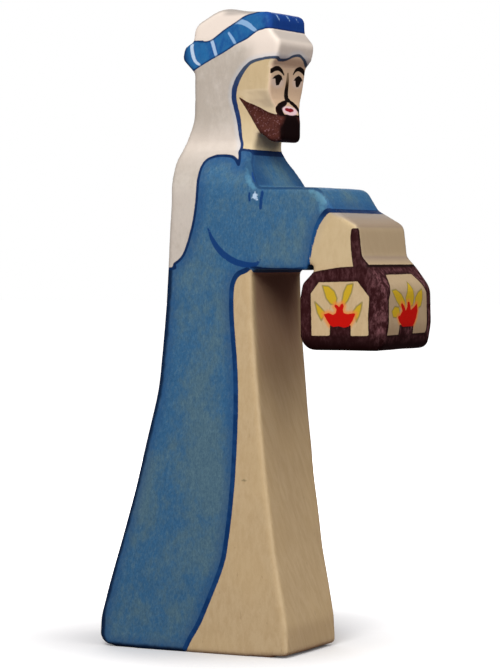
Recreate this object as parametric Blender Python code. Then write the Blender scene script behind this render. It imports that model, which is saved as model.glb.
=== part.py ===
"""A shepherd with a lantern, sawn from one maple board and painted. It stands on its hem and faces -Y."""

import math

import bmesh
import bpy
from mathutils import Vector

# Overall sizes, in metres
HEIGHT = 0.1408
BOARD_THICKNESS = 0.025
HEM_LENGTH = 0.0468
HEM_LIFT = 0.0005

# The head is thinner than the board, and the chin is thinner than the head
HEAD_THICKNESS = 0.0178
NECK_THICKNESS = 0.0164
CHIN_THICKNESS = 0.0096

# The arm stands out from the chest, with the hand and the lantern at its end
ARM_UNDERSIDE = 0.0833
SLEEVE_DEPTH = 0.0177
ARM_REACH = 0.0252
KNUCKLE_HEIGHT = 0.0929
LANTERN_LENGTH = 0.0202
LANTERN_HEIGHT = 0.0168
LANTERN_LEAD = 0.0066
TURN_HOLE = 0.0013

# Softened edges
RIM_RADIUS = 0.0010
CROWN_RIM_RADIUS = 0.0018
SMALL_RIM_RADIUS = 0.0009
FOOT_RIM_RADIUS = 0.0008
HOLE_RIM_RADIUS = 0.0004
RIM_STEPS = 4

# Fineness of the outline
LONGEST_STEP = 0.0035
ARC_TURN = math.radians(12)
FIGURE_COLOUR = (0.72, 0.60, 0.42, 1.0)

# Free curves of the figure are drawn on one that is 140.8 units tall, with 0 at the hem's front and back
UNIT = HEIGHT / 140.8

# Distances run forward from the hem's front; these places carry the rest
WAIST_FRONT = -8.5 * UNIT
COAT_BACK = 0.4 * UNIT - HEM_LENGTH
KNUCKLES = WAIST_FRONT + ARM_REACH
ARM_TOP = ARM_UNDERSIDE + SLEEVE_DEPTH
LANTERN_FRONT = KNUCKLES + LANTERN_LEAD
LANTERN_BACK = LANTERN_FRONT - LANTERN_LENGTH
LANTERN_TOP = ARM_UNDERSIDE - 0.3 * UNIT
LANTERN_BOTTOM = LANTERN_TOP - LANTERN_HEIGHT
CHIN_FRONT = -4.7 * UNIT
CHIN_HEIGHT = 111.2 * UNIT
FACE_FRONT = -5.4 * UNIT
NECK_FRONT = -9.9 * UNIT


def scaled(*corners):
    """Corners drawn in units of the figure: forward, height, corner radius and rim radius in metres."""
    return [(f * UNIT, z * UNIT, r * UNIT, rim) for f, z, r, rim in corners]


def outline_corners():
    """The side view, round from the hem's front: forward, height, corner radius and rim radius."""
    robe_front = scaled(
        (0.2, 0.0, 1.0, FOOT_RIM_RADIUS),
        (0.0, 6.0, 12.0, RIM_RADIUS),
        (-2.9, 22.0, 60.0, RIM_RADIUS),
        (-4.9, 37.0, 60.0, RIM_RADIUS),
        (-6.3, 50.0, 60.0, RIM_RADIUS),
        (-7.3, 61.0, 60.0, RIM_RADIUS),
        (-8.3, 74.0, 30.0, RIM_RADIUS),
    )
    hole_front = LANTERN_BACK + 3.3 * UNIT
    hole_back = hole_front - TURN_HOLE
    hole_top = ARM_UNDERSIDE + 0.9 * TURN_HOLE
    under_arm = [
        (WAIST_FRONT, ARM_UNDERSIDE, 1.2 * UNIT, SMALL_RIM_RADIUS),
        (hole_back - 0.3 * UNIT, ARM_UNDERSIDE, 0.25 * UNIT, HOLE_RIM_RADIUS),
        (hole_back, hole_top, 0.45 * TURN_HOLE, HOLE_RIM_RADIUS),
        (hole_front, hole_top, 0.45 * TURN_HOLE, HOLE_RIM_RADIUS),
        (hole_front, LANTERN_TOP, 0.3 * UNIT, HOLE_RIM_RADIUS),
    ]
    lantern = [
        (LANTERN_BACK + 0.5 * UNIT, LANTERN_TOP - 2.6 * UNIT, 2.0 * UNIT, SMALL_RIM_RADIUS),
        (LANTERN_BACK - 0.1 * UNIT, LANTERN_TOP - 6.0 * UNIT, 6.0 * UNIT, SMALL_RIM_RADIUS),
        (LANTERN_BACK, LANTERN_BOTTOM, 3.4 * UNIT, RIM_RADIUS),
        (LANTERN_FRONT - 0.9 * UNIT, LANTERN_BOTTOM, 2.2 * UNIT, RIM_RADIUS),
        (LANTERN_FRONT + 0.1 * UNIT, LANTERN_BOTTOM + 5.4 * UNIT, 9.0 * UNIT, RIM_RADIUS),
        (LANTERN_FRONT - 0.1 * UNIT, LANTERN_TOP - 3.5 * UNIT, 4.5 * UNIT, RIM_RADIUS),
        (LANTERN_FRONT - 3.5 * UNIT, LANTERN_TOP + 0.9 * UNIT, 2.2 * UNIT, RIM_RADIUS),
    ]
    hand = [
        (KNUCKLES + 0.9 * UNIT, LANTERN_TOP + 3.2 * UNIT, 2.0 * UNIT, RIM_RADIUS),
        (KNUCKLES + 0.1 * UNIT, KNUCKLE_HEIGHT, 2.4 * UNIT, SMALL_RIM_RADIUS),
        (KNUCKLES - 5.9 * UNIT, ARM_TOP - 4.7 * UNIT, 2.3 * UNIT, RIM_RADIUS),
        (KNUCKLES - 8.9 * UNIT, ARM_TOP, 3.0 * UNIT, RIM_RADIUS),
    ]
    chest = [(-6.9 * UNIT, ARM_TOP + 0.3 * UNIT, 1.0 * UNIT, RIM_RADIUS)]
    chest += scaled(
        (-9.6, 106.4, 8.0, RIM_RADIUS),
        (-10.7, 109.8, 2.0, SMALL_RIM_RADIUS),
    )
    chin = [
        (NECK_FRONT, CHIN_HEIGHT + 2.3 * UNIT, 0.5 * UNIT, SMALL_RIM_RADIUS),
        (CHIN_FRONT - 2.6 * UNIT, CHIN_HEIGHT, 1.8 * UNIT, SMALL_RIM_RADIUS),
        (CHIN_FRONT, CHIN_HEIGHT, 2.9 * UNIT, RIM_RADIUS),
        (CHIN_FRONT - 0.1 * UNIT, CHIN_HEIGHT + 5.2 * UNIT, 5.0 * UNIT, SMALL_RIM_RADIUS),
        (FACE_FRONT - 0.9 * UNIT, CHIN_HEIGHT + 9.8 * UNIT, 8.0 * UNIT, SMALL_RIM_RADIUS),
    ]
    headdress = [(FACE_FRONT, 127.7 * UNIT, 0.8 * UNIT, SMALL_RIM_RADIUS)]
    headdress += scaled(
        (-3.9, 129.5, 2.0, RIM_RADIUS),
        (-3.3, 132.8, 2.3, RIM_RADIUS),
        (-5.6, 135.5, 0.9, SMALL_RIM_RADIUS),
        (-5.4, 139.3, 3.0, CROWN_RIM_RADIUS),
        (-11.5, 139.4, 20.0, RIM_RADIUS),
        (-17.4, 140.6, 9.0, RIM_RADIUS),
        (-24.2, 136.8, 3.2, RIM_RADIUS),
        (-24.7, 133.3, 0.9, SMALL_RIM_RADIUS),
        (-26.8, 132.1, 1.5, SMALL_RIM_RADIUS),
        (-27.5, 129.5, 1.6, SMALL_RIM_RADIUS),
        (-24.5, 126.3, 1.0, SMALL_RIM_RADIUS),
    )
    coat_back = scaled(
        (-24.9, 116.0, 9.0, RIM_RADIUS),
        (-28.6, 107.2, 6.0, RIM_RADIUS),
        (-28.3, 98.0, 40.0, RIM_RADIUS),
        (-29.0, 88.0, 60.0, RIM_RADIUS),
        (-29.6, 76.0, 60.0, RIM_RADIUS),
        (-31.5, 57.5, 40.0, RIM_RADIUS),
        (-37.7, 34.0, 60.0, RIM_RADIUS),
    )
    coat_back += [
        (COAT_BACK + 1.8 * UNIT, 12.0 * UNIT, 20.0 * UNIT, RIM_RADIUS),
        (COAT_BACK + 0.1 * UNIT, 6.0 * UNIT, 8.0 * UNIT, RIM_RADIUS),
        (COAT_BACK, 0.0, 2.6 * UNIT, FOOT_RIM_RADIUS),
    ]
    hem = [
        (COAT_BACK + 10.0 * UNIT, -HEM_LIFT, 30.0 * UNIT, FOOT_RIM_RADIUS),
        (-10.5 * UNIT, -HEM_LIFT, 30.0 * UNIT, FOOT_RIM_RADIUS),
    ]
    return robe_front + under_arm + lantern + hand + chest + chin + headdress + coat_back + hem


def rounded_outline(corners):
    """Points along the outline, with an arc at each corner: place, rim radius, and the arc's radius if it is convex."""
    points = []
    places = [Vector((f, z)) for f, z, _, _ in corners]
    count = len(corners)
    for i, here in enumerate(places):
        before = places[i - 1] - here
        after = places[(i + 1) % count] - here
        turn = math.pi - before.angle(after)
        left_turn = (-before).cross(after) > 0
        reach = min(before.length, after.length) * 0.48
        radius = min(corners[i][2], reach / math.tan(turn / 2))
        tangent = radius * math.tan(turn / 2)
        start = here + before.normalized() * tangent
        end = here + after.normalized() * tangent
        inward = (before.normalized() + after.normalized()).normalized()
        centre = here + inward * (radius / math.cos(turn / 2))
        steps = max(2, math.ceil(turn / ARC_TURN))
        rim = corners[i][3]
        if left_turn:
            rim = min(rim, 0.8 * radius)
        swing = (start - centre).angle_signed(end - centre)
        arm = start - centre
        for s in range(steps + 1):
            angle = -swing * s / steps
            spoke = Vector((
                arm.x * math.cos(angle) - arm.y * math.sin(angle),
                arm.x * math.sin(angle) + arm.y * math.cos(angle),
            ))
            points.append((centre + spoke, rim))
    return points


def with_even_steps(points):
    """The same outline, with points added so that no step is longer than LONGEST_STEP."""
    filled = []
    for i, (here, rim) in enumerate(points):
        there, next_rim = points[(i + 1) % len(points)]
        gap = (there - here).length
        steps = max(1, math.ceil(gap / LONGEST_STEP))
        if gap < 1e-6:
            continue
        for s in range(steps):
            share = s / steps
            filled.append((here.lerp(there, share), rim + (next_rim - rim) * share))
    return filled


def inward_normals(places):
    """At each point of the outline, the unit direction into the wood."""
    normals = []
    for i, here in enumerate(places):
        before = (here - places[i - 1]).normalized()
        after = (places[(i + 1) % len(places)] - here).normalized()
        along = (before + after).normalized()
        normals.append(Vector((-along.y, along.x)))
    return normals


def smooth_share(value, low, high):
    """0 below low, 1 above high, and an even S between them."""
    t = min(1.0, max(0.0, (value - low) / (high - low)))
    return t * t * (3 - 2 * t)


def half_thickness(forward, height):
    """Half the figure's thickness at a place on its side: the front view, with the cheeks cut in towards the chin."""
    board, neck, head = BOARD_THICKNESS / 2, NECK_THICKNESS / 2, HEAD_THICKNESS / 2
    shoulder = smooth_share(height, ARM_TOP - 0.5 * UNIT, ARM_TOP + 11.0 * UNIT)
    crown = smooth_share(height, CHIN_HEIGHT + 6 * UNIT, CHIN_HEIGHT + 19 * UNIT)
    half = board + (neck - board) * shoulder + (head - neck) * crown
    ear = CHIN_FRONT - 9.5 * UNIT
    towards_chin = min(1.0, max(0.0, (forward - ear) / (CHIN_FRONT - ear)))
    above_collar = smooth_share(height, CHIN_HEIGHT - 6 * UNIT, CHIN_HEIGHT - 2 * UNIT)
    below_cheek = 1 - smooth_share(height, CHIN_HEIGHT + 5.5 * UNIT, CHIN_HEIGHT + 11.5 * UNIT)
    cut = (neck - CHIN_THICKNESS / 2) * towards_chin * above_collar * below_cheek
    return half - cut


def blank_mesh(outline):
    """The board with its rim rounded over on both sides, as a bmesh. X runs across the board."""
    bm = bmesh.new()
    places = [place for place, _ in outline]
    normals = inward_normals(places)
    half = BOARD_THICKNESS / 2
    middle = (max(place.x for place in places) + min(place.x for place in places)) / 2
    rings = []
    for side in (-1, 1):
        turns = [math.pi / 2 * k / RIM_STEPS for k in range(RIM_STEPS + 1)]
        if side < 0:
            turns.reverse()
        for turn in turns:
            ring = []
            for (place, rim), normal in zip(outline, normals):
                at = place + normal * rim * (1 - math.cos(turn))
                across = side * (half - rim * (1 - math.sin(turn)))
                ring.append(bm.verts.new((across, middle - at.x, at.y)))
            rings.append(ring)
    for ring, following in zip(rings, rings[1:]):
        for i in range(len(ring)):
            j = (i + 1) % len(ring)
            bm.faces.new((ring[i], ring[j], following[j], following[i]))
    bm.faces.new(rings[0])
    bm.faces.new(rings[-1])
    bmesh.ops.recalc_face_normals(bm, faces=bm.faces)
    return bm, middle


def cut_lines(bm, point, normal, above):
    """Adds edges where a plane crosses the faces that lie above a height."""
    faces = [f for f in bm.faces if f.calc_center_median().z > above or len(f.verts) > 4]
    edges = {e for f in faces for e in f.edges}
    verts = {v for f in faces for v in f.verts}
    bmesh.ops.bisect_plane(bm, geom=[*faces, *edges, *verts], plane_co=point, plane_no=normal, dist=1e-5)


def carve_head(bm, middle):
    """Thins the shoulders, neck and head, and narrows the chin."""
    low = ARM_TOP - 1.0 * UNIT
    levels = [low + (HEIGHT - low) * k / 22 for k in range(22)]
    for level in levels:
        cut_lines(bm, (0, 0, level), (0, 0, 1), 0)
    for k in range(5):
        forward = CHIN_FRONT - (9.5 - 2.2 * k) * UNIT
        cut_lines(bm, (0, middle - forward, 0), (0, 1, 0), ARM_TOP)
    bmesh.ops.triangulate(bm, faces=bm.faces)
    for vert in bm.verts:
        side = 1 if vert.co.x > 0 else -1
        thinner = BOARD_THICKNESS / 2 - half_thickness(middle - vert.co.y, vert.co.z)
        vert.co.x -= side * thinner


def wood_material():
    """Plain maple, sanded and left matt."""
    material = bpy.data.materials.new("painted_maple")
    material.use_nodes = True
    shader = material.node_tree.nodes["Principled BSDF"]
    shader.inputs["Base Color"].default_value = FIGURE_COLOUR
    shader.inputs["Roughness"].default_value = 0.6
    shader.inputs["Metallic"].default_value = 0.0
    return material


def make_figure():
    outline = with_even_steps(rounded_outline(outline_corners()))
    bm, middle = blank_mesh(outline)
    carve_head(bm, middle)
    bmesh.ops.translate(bm, verts=bm.verts, vec=(0, 0, HEM_LIFT))
    mesh = bpy.data.meshes.new("shepherd_figure")
    bm.to_mesh(mesh)
    bm.free()
    mesh.shade_smooth()
    mesh.set_sharp_from_angle(angle=math.radians(35))
    figure = bpy.data.objects.new("shepherd_figure", mesh)
    bpy.context.scene.collection.objects.link(figure)
    mesh.materials.append(wood_material())
    return figure


for old in list(bpy.data.objects):
    bpy.data.objects.remove(old)
make_figure()
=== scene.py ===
import math

import bpy
import numpy as np
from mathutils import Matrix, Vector


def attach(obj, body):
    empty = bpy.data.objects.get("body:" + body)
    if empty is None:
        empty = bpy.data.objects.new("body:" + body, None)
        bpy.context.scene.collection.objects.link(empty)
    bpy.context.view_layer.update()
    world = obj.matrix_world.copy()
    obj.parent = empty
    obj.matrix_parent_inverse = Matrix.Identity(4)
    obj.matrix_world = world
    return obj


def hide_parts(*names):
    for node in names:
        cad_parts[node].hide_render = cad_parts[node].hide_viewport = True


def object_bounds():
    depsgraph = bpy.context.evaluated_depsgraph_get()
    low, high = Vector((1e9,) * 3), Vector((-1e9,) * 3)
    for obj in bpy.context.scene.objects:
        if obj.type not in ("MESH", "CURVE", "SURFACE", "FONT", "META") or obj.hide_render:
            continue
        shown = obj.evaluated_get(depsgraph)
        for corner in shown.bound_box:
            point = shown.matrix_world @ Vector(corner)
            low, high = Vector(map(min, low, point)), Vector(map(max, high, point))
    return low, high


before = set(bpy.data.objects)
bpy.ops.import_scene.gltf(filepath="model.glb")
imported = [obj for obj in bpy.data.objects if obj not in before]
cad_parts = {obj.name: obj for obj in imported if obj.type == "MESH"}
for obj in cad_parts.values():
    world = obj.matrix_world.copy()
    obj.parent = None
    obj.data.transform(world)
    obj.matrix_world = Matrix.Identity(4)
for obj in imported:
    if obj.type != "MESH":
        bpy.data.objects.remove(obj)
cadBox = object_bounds()

# Paint is drawn in millimetres on the figure. "side" is (forward, height) and goes
# straight through the board; "front" is (across, height), across being +X.

board = {
    "voxel": 0.00055,       # mesh fineness, in metres
    "smoothing": 1,
    "sanding": 0.00003,     # height of the uneven sanding, in metres
    "footDepth": 0.00035,   # what lies lower than this is pressed flat, down to the next value
    "footRise": 0.00004,
    "zero": (0.06, 0.50),   # forward and height, in mm, where the drawing starts
    "frontTurn": (0.35, 0.75),      # from side to front, and from front to side, on the mesh
    "sideTurn": (0.25, 0.60),
    "frontShare": (0.40, 0.85),     # the same two in the material
    "sideShare": (0.45, 0.90),
    "robeTop": 84.0,        # the back edge's line is read this high, at these steps
    "profileStep": 2.0,
    "flatShare": 0.2,
    "backSlope": 0.96,
    "hemInset": 1.0,
    "lineTop": 86.0,
    "knot": ((1.3, 37.7), (0.62, 0.36)),
    "fineZones": (          # where small strokes need a finer mesh, on both sides: two corners
        ((0.0000, -0.0090, 0.1165), (0.0100, -0.0030, 0.1325)),
        ((0.0105, -0.0360, 0.0700), (0.0130, -0.0165, 0.0855)),
        ((0.0000, -0.0360, 0.0710), (0.0110, -0.0270, 0.0865)),
        ((0.0105, 0.0120, 0.0825), (0.0130, 0.0180, 0.0885)),
        ((0.0105, 0.0090, 0.0880), (0.0130, 0.0145, 0.1060)),
        ((0.0080, -0.0040, 0.0950), (0.0130, 0.0120, 0.1110)),
        ((0.0070, -0.0030, 0.1085), (0.0095, 0.0060, 0.1310)),
    ),
}

coat = {
    "behind": ((-60.0, 83.3), (-30.0, 83.3)),       # this and others like it lie off the figure
    "shoulder": (
        (-16.9, 83.5), (-15.9, 84.5), (-14.3, 85.7), (-13.2, 87.3), (-12.1, 90.2),
        (-11.1, 93.7), (-10.5, 97.2), (-10.2, 100.5), (-10.2, 103.1), (-10.1, 105.5),
        (-9.3, 107.2), (-7.6, 108.0), (-6.1, 108.2), (-3.9, 108.1), (-2.5, 107.6),
        (-1.1, 106.1),
    ),
    "shoulderWidth": 0.62,
    "collar": (
        (-1.1, 106.1), (-1.4, 107.7), (-1.7, 109.3), (-0.4, 109.35), (0.5, 109.2),
        (1.2, 108.95), (2.6, 108.8), (12.0, 108.75),
    ),
    "collarWidths": (0.6, 0.6, 0.6, 0.5, 0.6, 1.0, 1.5, 1.7),
    "overHand": ((45.0, 95.9), (24.0, 95.9)),
    "cuff": (
        (21.6, 96.0), (20.8, 95.6), (19.6, 94.2), (18.5, 92.1), (17.8, 89.7), (17.2, 87.4),
        (16.8, 84.8), (16.7, 83.4),
    ),
    "cuffWidths": (0.8, 0.8, 1.0, 1.15, 1.1, 0.9, 0.75, 0.65, 0.6, 0.6),
    "underSleeve": [(16.6, 82.4), (3.2, 82.4)],
    "underArm": ((16.4, 83.65), (12.0, 83.5), (7.0, 83.5), (4.4, 83.8), (3.0, 83.7), (1.9, 83.3)),
    "underArmWidths": (0.75, 0.6, 0.55, 0.55, 0.6, 0.75),
    "opening": (
        (3.0, 83.6), (1.9, 83.3), (-0.2, 82.4), (-1.2, 81.0), (-1.7, 79.1), (-1.8, 74.6),
        (-1.5, 69.6), (-0.9, 62.5), (-0.7, 55.2), (-0.9, 48.0), (-1.3, 40.8), (-1.7, 35.4),
        (-2.3, 29.9), (-3.1, 24.5), (-3.9, 20.2), (-5.2, 16.5), (-6.8, 12.8), (-8.5, 9.0),
        (-10.1, 5.7), (-12.2, 2.3), (-13.4, 0.0),
    ),
    "openingWidth": 1.12,
    "below": [(-15.0, -5.0), (-60.0, -5.0)],
    "folds": (              # the elbow's fold, and three short ones at the shoulder, the first of them painted crease shade
        (((-7.6, 92.5), (-6.6, 90.2), (-5.3, 88.2), (-3.6, 86.6), (-1.2, 85.2), (1.4, 84.5),
          (4.0, 84.5), (5.3, 85.6)), (0.3, 0.9, 1.3, 1.4, 1.4, 1.3, 1.0, 0.3)),
        (((2.7, 104.4), (3.2, 103.1), (4.2, 102.0), (5.1, 101.3)), 0.50),
        (((2.6, 99.9), (2.5, 99.2), (2.6, 98.3)), 0.50),
        (((5.7, 100.1), (5.4, 98.5), (5.3, 96.6)), 0.75),
    ),
    "chip": ((4.0, 99.1), (0.55, 0.75)),
    "pale": ((-8.5, 42.0), (6.0, 20.0)),      # where the stain is thinnest
    "lights": (             # painted highlights, lighter blue where light falls on the chest's edge and the sleeve's corner
        (((1.7, 108.8), (1.7, 107.0), (1.9, 104.9), (2.4, 102.7), (3.3, 101.0)),
         (2.4, 2.3, 2.0, 1.7, 1.1)),
        (((17.6, 100.2), (19.4, 98.9), (20.2, 97.4), (19.6, 95.9)), (1.3, 2.2, 1.7, 0.8)),
    ),
}

headCloth = {
    "edge": (
        (7.4, 129.2), (5.7, 129.2), (3.8, 129.0), (1.3, 128.4), (-0.3, 127.2), (-1.4, 125.9),
        (-2.4, 124.4), (-3.1, 122.7), (-3.3, 120.7), (-2.9, 118.6), (-2.4, 116.5),
        (-2.1, 114.4), (-1.9, 112.3), (-1.5, 110.6), (-1.6, 109.3),
    ),
    "edgeWidths": (
        0.60, 0.60, 0.60, 0.70, 0.85, 1.05, 1.20, 1.25, 1.20, 1.05, 0.95, 0.80, 0.65, 0.60,
        0.60,
    ),
    "notch": (-1.5, 107.7),
    "above": [(30.0, 129.2), (30.0, 150.0), (-60.0, 150.0)],
    "scallops": (
        (-9.5, 129.3), (-8.3, 129.2), (-6.6, 128.8), (-3.8, 129.0), (-1.1, 129.9),
        (1.8, 130.2), (4.1, 129.6), (6.2, 128.8), (7.6, 128.3), (9.5, 128.2),
    ),
    "scallopWidth": 0.62,
    "frontAbove": [(20.0, 128.0), (20.0, 150.0), (-20.0, 150.0), (-20.0, 129.3)],
    "bandTop": (
        (-40.0, 133.4), (-12.7, 133.5), (-11.4, 133.3), (-9.6, 133.3), (-8.5, 133.6),
        (-7.1, 134.5), (-5.3, 135.7), (-3.7, 136.6), (-2.4, 137.3), (-0.7, 138.3),
        (0.7, 138.8), (2.3, 139.2), (4.0, 140.2), (10.0, 146.0),
    ),
    "bandBottom": (
        (-18.0, 124.0), (-16.6, 124.8), (-15.2, 125.6), (-13.8, 126.4), (-12.4, 127.2),
        (-10.7, 128.1), (-8.9, 129.0), (-7.2, 129.8), (-5.1, 130.8), (-2.6, 132.2),
        (0.0, 133.3), (1.6, 134.3), (2.8, 135.0), (4.0, 135.3), (5.2, 135.5), (10.0, 135.4),
    ),
    "stripes": (
        (((-13.3, 133.6), (-13.4, 131.8), (-13.0, 129.8), (-12.3, 128.7), (-11.2, 128.0)),
         (0.8, 0.85, 0.8, 0.7, 0.5)),
        (((-8.5, 133.6), (-8.0, 132.0), (-7.5, 130.4), (-7.2, 129.7)), (0.75, 0.8, 0.7, 0.6)),
        (((-4.4, 135.0), (-3.5, 133.8), (-2.9, 132.8), (-2.5, 132.4)), (0.45, 0.7, 0.7, 0.5)),
        (((-2.9, 136.9), (-1.5, 137.2), (0.2, 136.6), (1.6, 135.6), (2.5, 135.0)),
         (0.5, 1.1, 1.2, 0.9, 0.6)),
    ),
    "frontStripes": (
        (((-5.5, 138.9), (-5.0, 138.1), (-4.5, 137.4)), (0.5, 0.7, 0.4)),
        (((-0.6, 139.0), (0.0, 138.3), (0.5, 137.7)), (0.5, 0.65, 0.4)),
        (((4.0, 138.5), (4.7, 137.6)), (0.45, 0.3)),
    ),
    "backStripes": (
        (((-6.2, 133.0), (-5.2, 130.4), (-5.8, 127.5)), (0.6, 0.8, 0.5)),
        (((-0.8, 133.1), (0.4, 130.4), (-0.2, 127.4)), (0.6, 0.8, 0.5)),
        (((4.9, 133.0), (5.8, 130.3), (5.1, 127.5)), (0.6, 0.8, 0.5)),
    ),
}

face = {
    "low": 111.0,           # where the face and the chin end
    "chinLow": 110.3,
    "ahead": (3.0, 4.0),    # from here on forward the front is painted
    "brows": (
        (((-8.2, 126.4), (-6.8, 126.9), (-5.1, 127.05), (-3.5, 126.6), (-2.1, 125.8)),
         (1.1, 1.1, 1.0, 0.8, 0.35)),
        (((2.4, 126.2), (3.4, 127.1), (4.8, 127.5), (6.7, 127.2), (8.0, 126.6)),
         (0.4, 0.75, 1.0, 1.05, 1.0)),
    ),
    "eyes": (               # the lid and the iris hanging from it
        ((-7.8, 124.6), (-6.4, 125.45), (-4.7, 125.85), (-3.3, 125.6), (-2.2, 124.5),
         (-3.1, 124.75), (-3.5, 124.2), (-4.0, 123.5), (-5.3, 123.4), (-5.8, 124.1), (-6.1, 124.85)),
        ((2.7, 124.8), (4.0, 125.7), (5.2, 126.1), (6.4, 125.8), (7.7, 124.9),
         (6.7, 124.95), (6.3, 124.3), (5.7, 123.6), (4.5, 123.5), (4.0, 124.2), (3.8, 124.95)),
    ),
    "nose": (
        (-0.3, 126.0), (-0.1, 124.9), (-0.1, 123.2), (-0.2, 122.0), (-0.2, 121.1), (0.3, 120.55),
        (1.4, 120.4),
    ),
    "noseWidths": (0.9, 1.3, 1.6, 1.9, 2.0, 1.3, 0.6),
    "eyePale": (((-4.8, 124.1), (3.0, 1.25)), ((5.0, 124.5), (2.8, 1.25))),
    "moustache": (
        ((0.2, 120.6), (-2.5, 120.1), (-4.9, 119.4), (-6.3, 118.3), (-6.6, 117.0), (-2.8, 117.0),
         (-3.5, 117.7), (-2.9, 118.5), (-1.5, 119.05), (-0.3, 119.6)),
        ((1.0, 120.6), (2.9, 120.2), (4.5, 119.4), (5.6, 118.2), (5.8, 117.0), (4.0, 117.0), (4.1, 118.0),
         (3.1, 118.8), (2.0, 119.3), (0.9, 119.8)),
    ),
    "mouth": ((0.1, 118.1), (3.5, 1.0)),
    "lips": (((-0.8, 118.3), (1.3, 0.42)), ((0.95, 118.3), (1.15, 0.40)), ((0.1, 118.1), (1.1, 0.36))),
    "beardFront": ((-8.0, 117.1), (-4.0, 117.15), (-0.5, 117.25), (3.2, 117.3), (8.0, 117.1)),
    "beardTop": ((-2.0, 120.9), (-0.1, 119.75), (1.8, 118.9), (4.0, 117.6), (5.5, 117.1)),
    "beardLow": ((-2.1, 120.7), (-0.8, 118.5), (0.5, 116.0), (1.3, 114.5), (1.8, 113.6), (1.9, 113.0)),
    "beardAhead": [(30.0, 117.1), (30.0, 110.0), (1.9, 110.0)],
    "beardBelow": [(20.0, 117.0), (20.0, 109.0), (-20.0, 109.0), (-20.0, 117.0)],
}

lantern = {
    "top": 90.0,            # its front and flames lie below this and ahead of this
    "ahead": 30.0,
    "below": [(50.0, 60.0), (10.0, 60.0), (10.0, 82.2)],
    "frameTop": (
        (15.0, 82.3), (16.4, 82.5), (18.0, 82.9), (20.0, 83.3), (22.0, 83.6), (24.0, 83.9),
        (27.1, 84.1), (29.0, 84.3), (31.0, 84.5), (50.0, 84.5),
    ),
    "handle": ((26.9, 92.2), (26.6, 90.5), (26.7, 88.0), (26.9, 86.0), (27.3, 83.8)),
    "handleAhead": [(50.0, 83.8), (50.0, 92.2)],
    "handleWrap": 11.75,    # how far across the handle's line ends on the front
    "pane": (
        (17.3, 78.3), (19.2, 80.7), (28.3, 80.9), (31.0, 77.6), (30.7, 73.7), (30.8, 69.4),
        (17.5, 69.3),
    ),
    "stand": ((21.8, 71.6), (26.7, 71.6), (26.7, 69.0), (21.8, 69.0)),
    "frontPane": (
        (-7.2, 82.3), (6.4, 82.4), (7.6, 81.1), (9.5, 78.4), (9.4, 69.7), (-10.9, 69.5),
        (-10.6, 77.0), (-8.8, 80.0),
    ),
    "frontStand": ((-5.2, 71.6), (2.2, 71.6), (2.6, 69.0), (-5.0, 69.0)),
    "red": (
        (20.3, 73.9), (21.5, 74.2), (22.6, 73.8), (23.2, 74.2), (23.4, 75.0), (22.8, 75.6),
        (23.1, 76.1), (23.8, 75.7), (24.0, 75.3), (24.3, 76.0), (24.8, 76.3), (25.1, 75.7),
        (24.9, 75.0), (25.0, 74.2), (26.0, 74.0), (27.2, 74.2), (27.8, 74.1), (27.2, 72.7),
        (26.3, 71.4), (25.2, 71.1), (23.8, 71.4), (22.6, 71.2), (21.8, 71.6), (21.1, 72.6),
    ),
    "yellow": (
        ((20.0, 80.0), (21.5, 79.9), (22.9, 78.8), (23.5, 77.3), (23.2, 76.0), (22.0, 76.0), (20.9, 77.3)),
        ((25.8, 80.2), (27.3, 80.5), (26.9, 78.6), (26.0, 76.8), (25.2, 75.9), (24.6, 76.5), (25.0, 78.6)),
        ((18.2, 76.6), (19.5, 75.5), (20.6, 74.4), (20.3, 73.4), (19.8, 72.5), (18.8, 74.2)),
        ((29.4, 76.6), (28.0, 75.6), (27.2, 74.5), (27.7, 73.7), (28.0, 72.3), (28.7, 73.7), (29.1, 75.0)),
    ),
    "frontRed": (
        (-6.2, 73.4), (-4.8, 73.7), (-3.6, 74.6), (-4.4, 75.9), (-3.8, 76.3), (-2.7, 75.7),
        (-1.9, 74.6), (-1.0, 75.5), (-0.9, 76.5), (0.1, 76.5), (0.6, 75.5), (0.7, 74.7),
        (2.2, 75.2), (4.2, 76.1), (4.5, 74.6), (3.6, 73.0), (2.0, 71.2), (-3.4, 71.2),
        (-5.4, 72.3),
    ),
    "frontYellow": (
        ((-8.7, 79.0), (-6.4, 79.2), (-4.0, 78.2), (-2.2, 76.6), (-2.0, 75.2), (-4.6, 75.4), (-6.6, 76.7)),
        ((1.2, 80.8), (2.5, 79.2), (2.7, 77.2), (1.8, 75.6), (-1.2, 75.6), (-1.9, 77.4), (-0.6, 79.0)),
        ((7.3, 79.2), (7.3, 77.2), (6.4, 75.5), (4.6, 75.0), (3.0, 75.8), (3.4, 77.4), (5.0, 78.5)),
        ((-9.2, 74.6), (-7.6, 75.6), (-5.4, 75.4), (-4.9, 74.0), (-7.0, 73.2), (-8.6, 73.3)),
    ),
}


def smoothPath(points, widths=None, perSpan=6):
    # a curve through every point, and the width along it
    p = np.array(points, float)
    w = np.full(len(p), 1.0) if widths is None else np.broadcast_to(np.array(widths, float), len(p))
    padded = np.vstack([2 * p[0] - p[1], p, 2 * p[-1] - p[-2]])
    t = np.linspace(0, 1, perSpan, endpoint=False)[:, None]
    path, along = [], []
    for i in range(len(p) - 1):
        a, b, c, d = padded[i:i + 4]
        path.append(0.5 * (2 * b + (c - a) * t + (2 * a - 5 * b + 4 * c - d) * t ** 2
                           + (3 * b - a - 3 * c + d) * t ** 3))
        along.append(w[i] + (w[i + 1] - w[i]) * t[:, 0])
    path.append(p[-1:])
    along.append(w[-1:])
    return np.vstack(path), np.concatenate(along)


farAway = 4.0    # fields are cut off at this distance, in mm


def near(places, path, margin=farAway):
    low, high = path.min(0) - margin, path.max(0) + margin
    return np.nonzero(((places > low) & (places < high)).all(1))[0]


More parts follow.
